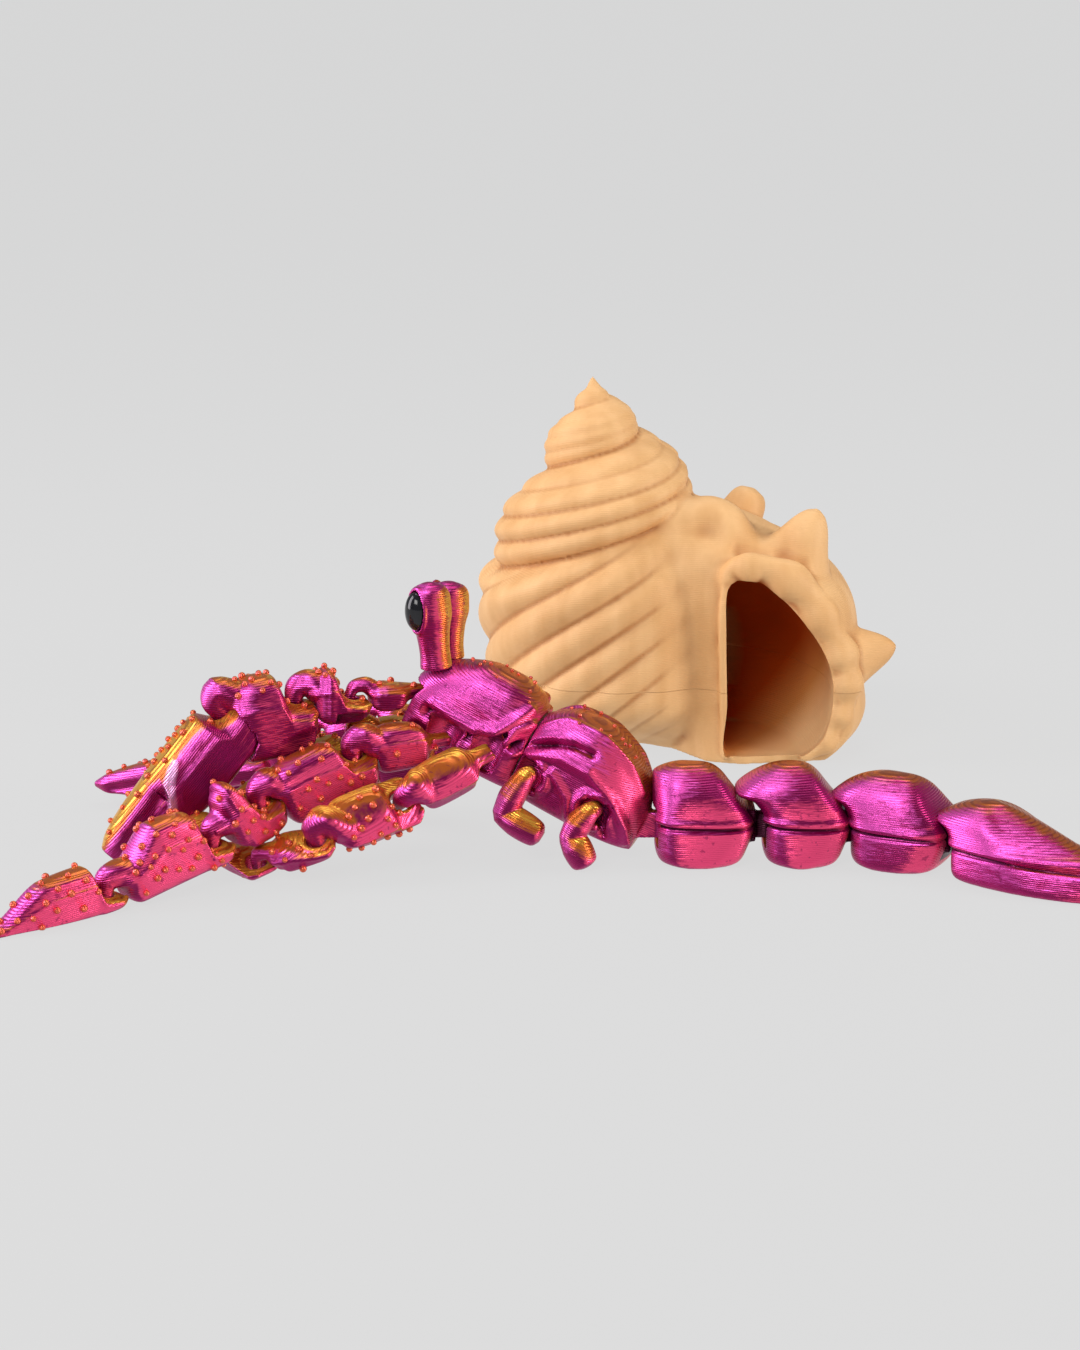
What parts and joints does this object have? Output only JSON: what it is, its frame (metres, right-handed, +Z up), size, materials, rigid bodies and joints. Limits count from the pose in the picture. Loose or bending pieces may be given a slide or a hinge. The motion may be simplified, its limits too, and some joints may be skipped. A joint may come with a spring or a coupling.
{
  "type": "articulated hermit crab toy",
  "caption": "Hermit crab toy printed as loose-linked silk plastic pieces, with a jointed tail, claws and legs, beside its empty tan spiral shell.",
  "frame": {"origin": "middle of the bounding box at the table", "axes": "+X towards the crab's tail tip, +Y from the crab towards its shell, +Z up"},
  "size_m": [0.2198, 0.1896, 0.0844],
  "materials": {
    "magenta_silk": "silk",
    "tan_plastic": "matte",
    "eye_black": "gloss"
  },
  "bodies": {
    "front_body": {"carapace": "magenta_silk", "thorax": "magenta_silk", "left_eyestalk": "magenta_silk", "right_eyestalk": "magenta_silk", "left_eye": "eye_black", "right_eye": "eye_black", "right_front_leg_ischium": "magenta_silk", "right_front_leg_merus": "magenta_silk", "right_front_leg_carpus": "magenta_silk", "right_front_leg_propodus": "magenta_silk", "right_front_leg_dactyl": "magenta_silk"},
    "tail_1": {"tail_1": "magenta_silk"},
    "tail_2": {"tail_2": "magenta_silk"},
    "tail_3": {"tail_3": "magenta_silk"},
    "tail_4": {"tail_4": "magenta_silk"},
    "left_claw_limb": {"left_claw_ischium": "magenta_silk", "left_claw_merus": "magenta_silk", "left_claw_carpus": "magenta_silk", "left_claw_palm": "magenta_silk", "left_claw_finger": "magenta_silk"},
    "right_claw_limb": {"right_claw_ischium": "magenta_silk", "right_claw_merus": "magenta_silk", "right_claw_carpus": "magenta_silk", "right_claw_palm": "magenta_silk", "right_claw_finger": "magenta_silk"},
    "left_front_leg_limb": {"left_front_leg_ischium": "magenta_silk", "left_front_leg_merus": "magenta_silk", "left_front_leg_carpus": "magenta_silk", "left_front_leg_propodus": "magenta_silk", "left_front_leg_dactyl": "magenta_silk"},
    "left_rear_leg_limb": {"left_rear_leg_ischium": "magenta_silk", "left_rear_leg_merus": "magenta_silk", "left_rear_leg_carpus": "magenta_silk", "left_rear_leg_dactyl": "magenta_silk"},
    "right_rear_leg_limb": {"right_rear_leg_ischium": "magenta_silk", "right_rear_leg_merus": "magenta_silk", "right_rear_leg_propodus": "magenta_silk", "right_rear_leg_dactyl": "magenta_silk"},
    "left_small_leg_1_limb": {"left_small_leg_1": "magenta_silk"},
    "left_small_leg_2_limb": {"left_small_leg_2": "magenta_silk"},
    "right_small_leg_1_limb": {"right_small_leg_1": "magenta_silk"},
    "right_small_leg_2_limb": {"right_small_leg_2": "magenta_silk"},
    "shell": {"shell_lower": "tan_plastic", "shell_upper": "tan_plastic"}
  },
  "joints": [
    {"name": "tail_1_swing", "type": "hinge", "parent": "front_body", "child": "tail_1", "pos_m": [0.02165, -0.04305, 0.007], "axis": [0, 0, 1], "range_deg": [-15, 6]},
    {"name": "tail_2_swing", "type": "hinge", "parent": "tail_1", "child": "tail_2", "pos_m": [0.04345, -0.04305, 0.007], "axis": [0, 0, 1], "range_deg": [-15, 15]},
    {"name": "tail_3_swing", "type": "hinge", "parent": "tail_2", "child": "tail_3", "pos_m": [0.06285, -0.04339, 0.007], "axis": [0, 0, 1], "range_deg": [0, 18]},
    {"name": "tail_4_swing", "type": "hinge", "parent": "tail_3", "child": "tail_4", "pos_m": [0.08298, -0.05321, 0.007], "axis": [0, 0, 1], "range_deg": [-4, 16]},
    {"name": "left_claw_lift", "type": "hinge", "parent": "front_body", "child": "left_claw_limb", "pos_m": [-0.02935, -0.03425, 0.0324], "axis": [-0.2924, 0.9563, 0], "range_deg": [0, 22]},
    {"name": "right_claw_lift", "type": "hinge", "parent": "front_body", "child": "right_claw_limb", "pos_m": [-0.02935, -0.02625, 0.026], "axis": [0.3746, 0.9272, 0], "range_deg": [0, 22]},
    {"name": "left_front_leg_swing", "type": "hinge", "parent": "front_body", "child": "left_front_leg_limb", "pos_m": [-0.02495, -0.04005, 0.0236], "axis": [-0.299, 0.867, 0.3986], "range_deg": [0, 8]},
    {"name": "left_rear_leg_swing", "type": "hinge", "parent": "front_body", "child": "left_rear_leg_limb", "pos_m": [-0.01615, -0.04465, 0.0216], "axis": [0, 0, 1], "range_deg": [0, 5]},
    {"name": "right_rear_leg_swing", "type": "hinge", "parent": "front_body", "child": "right_rear_leg_limb", "pos_m": [-0.01215, -0.02445, 0.0184], "axis": [0, 0, -1], "range_deg": [0, 18]},
    {"name": "left_small_leg_1_swing", "type": "hinge", "parent": "front_body", "child": "left_small_leg_1_limb", "pos_m": [-0.00688, -0.04537, 0.01774], "axis": [0, 0, 1], "range_deg": [-15, 15]},
    {"name": "left_small_leg_2_swing", "type": "hinge", "parent": "front_body", "child": "left_small_leg_2_limb", "pos_m": [0.00608, -0.04884, 0.01148], "axis": [0, 0, 1], "range_deg": [-6, 15]},
    {"name": "right_small_leg_1_swing", "type": "hinge", "parent": "front_body", "child": "right_small_leg_1_limb", "pos_m": [-0.00222, -0.02798, 0.01774], "axis": [0, 0, 1], "range_deg": [-15, 15]},
    {"name": "right_small_leg_2_swing", "type": "hinge", "parent": "front_body", "child": "right_small_leg_2_limb", "pos_m": [0.01074, -0.03145, 0.01148], "axis": [0, 0, 1], "range_deg": [-15, 6]},
    {"name": "shell_lift", "type": "slide", "parent": "front_body", "child": "shell", "axis": [0, 0, 1], "range_m": [0, 0.12]}
  ]
}
